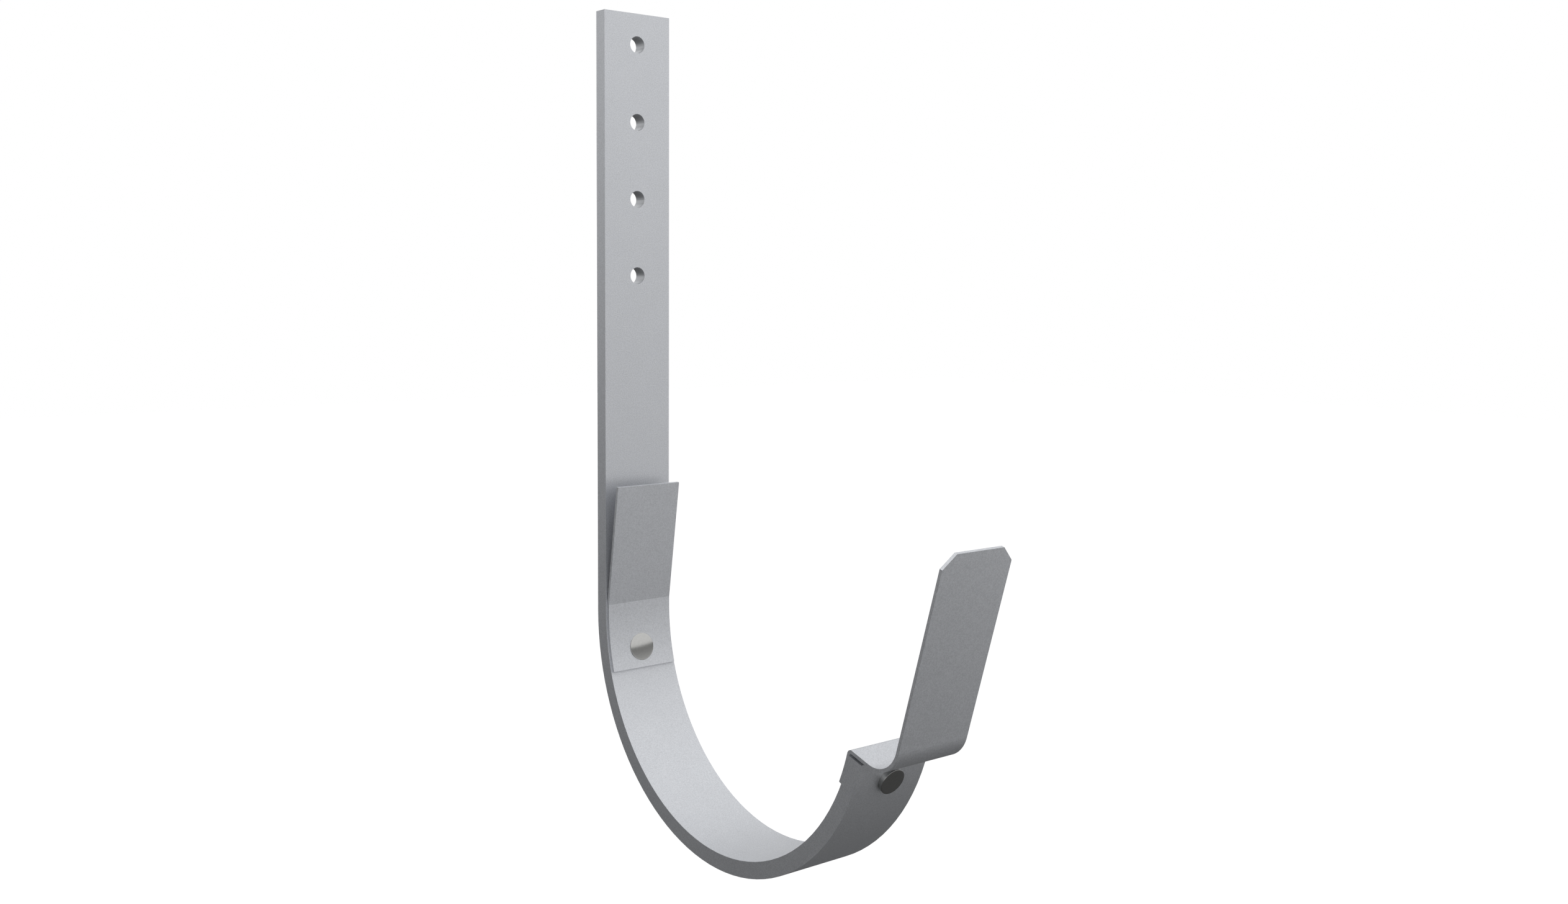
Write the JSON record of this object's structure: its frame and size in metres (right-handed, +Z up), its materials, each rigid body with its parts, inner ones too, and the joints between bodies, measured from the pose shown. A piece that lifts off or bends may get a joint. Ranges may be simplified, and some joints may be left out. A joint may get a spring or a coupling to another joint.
{
  "type": "gutter bracket",
  "caption": "Flat-bar hook whose shank screws to a wall or fascia and whose bend carries a half-round gutter, with riveted straps to fold over the gutter's rear edge and front bead.",
  "frame": {"origin": "middle of the row of screw holes, on the shank's back face, which lies against the wall", "axes": "+X away from the wall, towards the gutter's front edge; +Y along the gutter; +Z up along the shank"},
  "size_m": [0.1627, 0.025, 0.2635],
  "materials": {
    "bar_steel": "matte galvanised, fine even grain",
    "strap_steel": "matte galvanised sheet, fine even grain",
    "rivet_steel": "bare smooth steel"
  },
  "bodies": {
    "root": {"hook_bar": "bar_steel", "rear_strap": "strap_steel", "front_strap": "strap_steel", "rear_rivet": "rivet_steel", "front_rivet": "rivet_steel"}
  },
  "joints": []
}
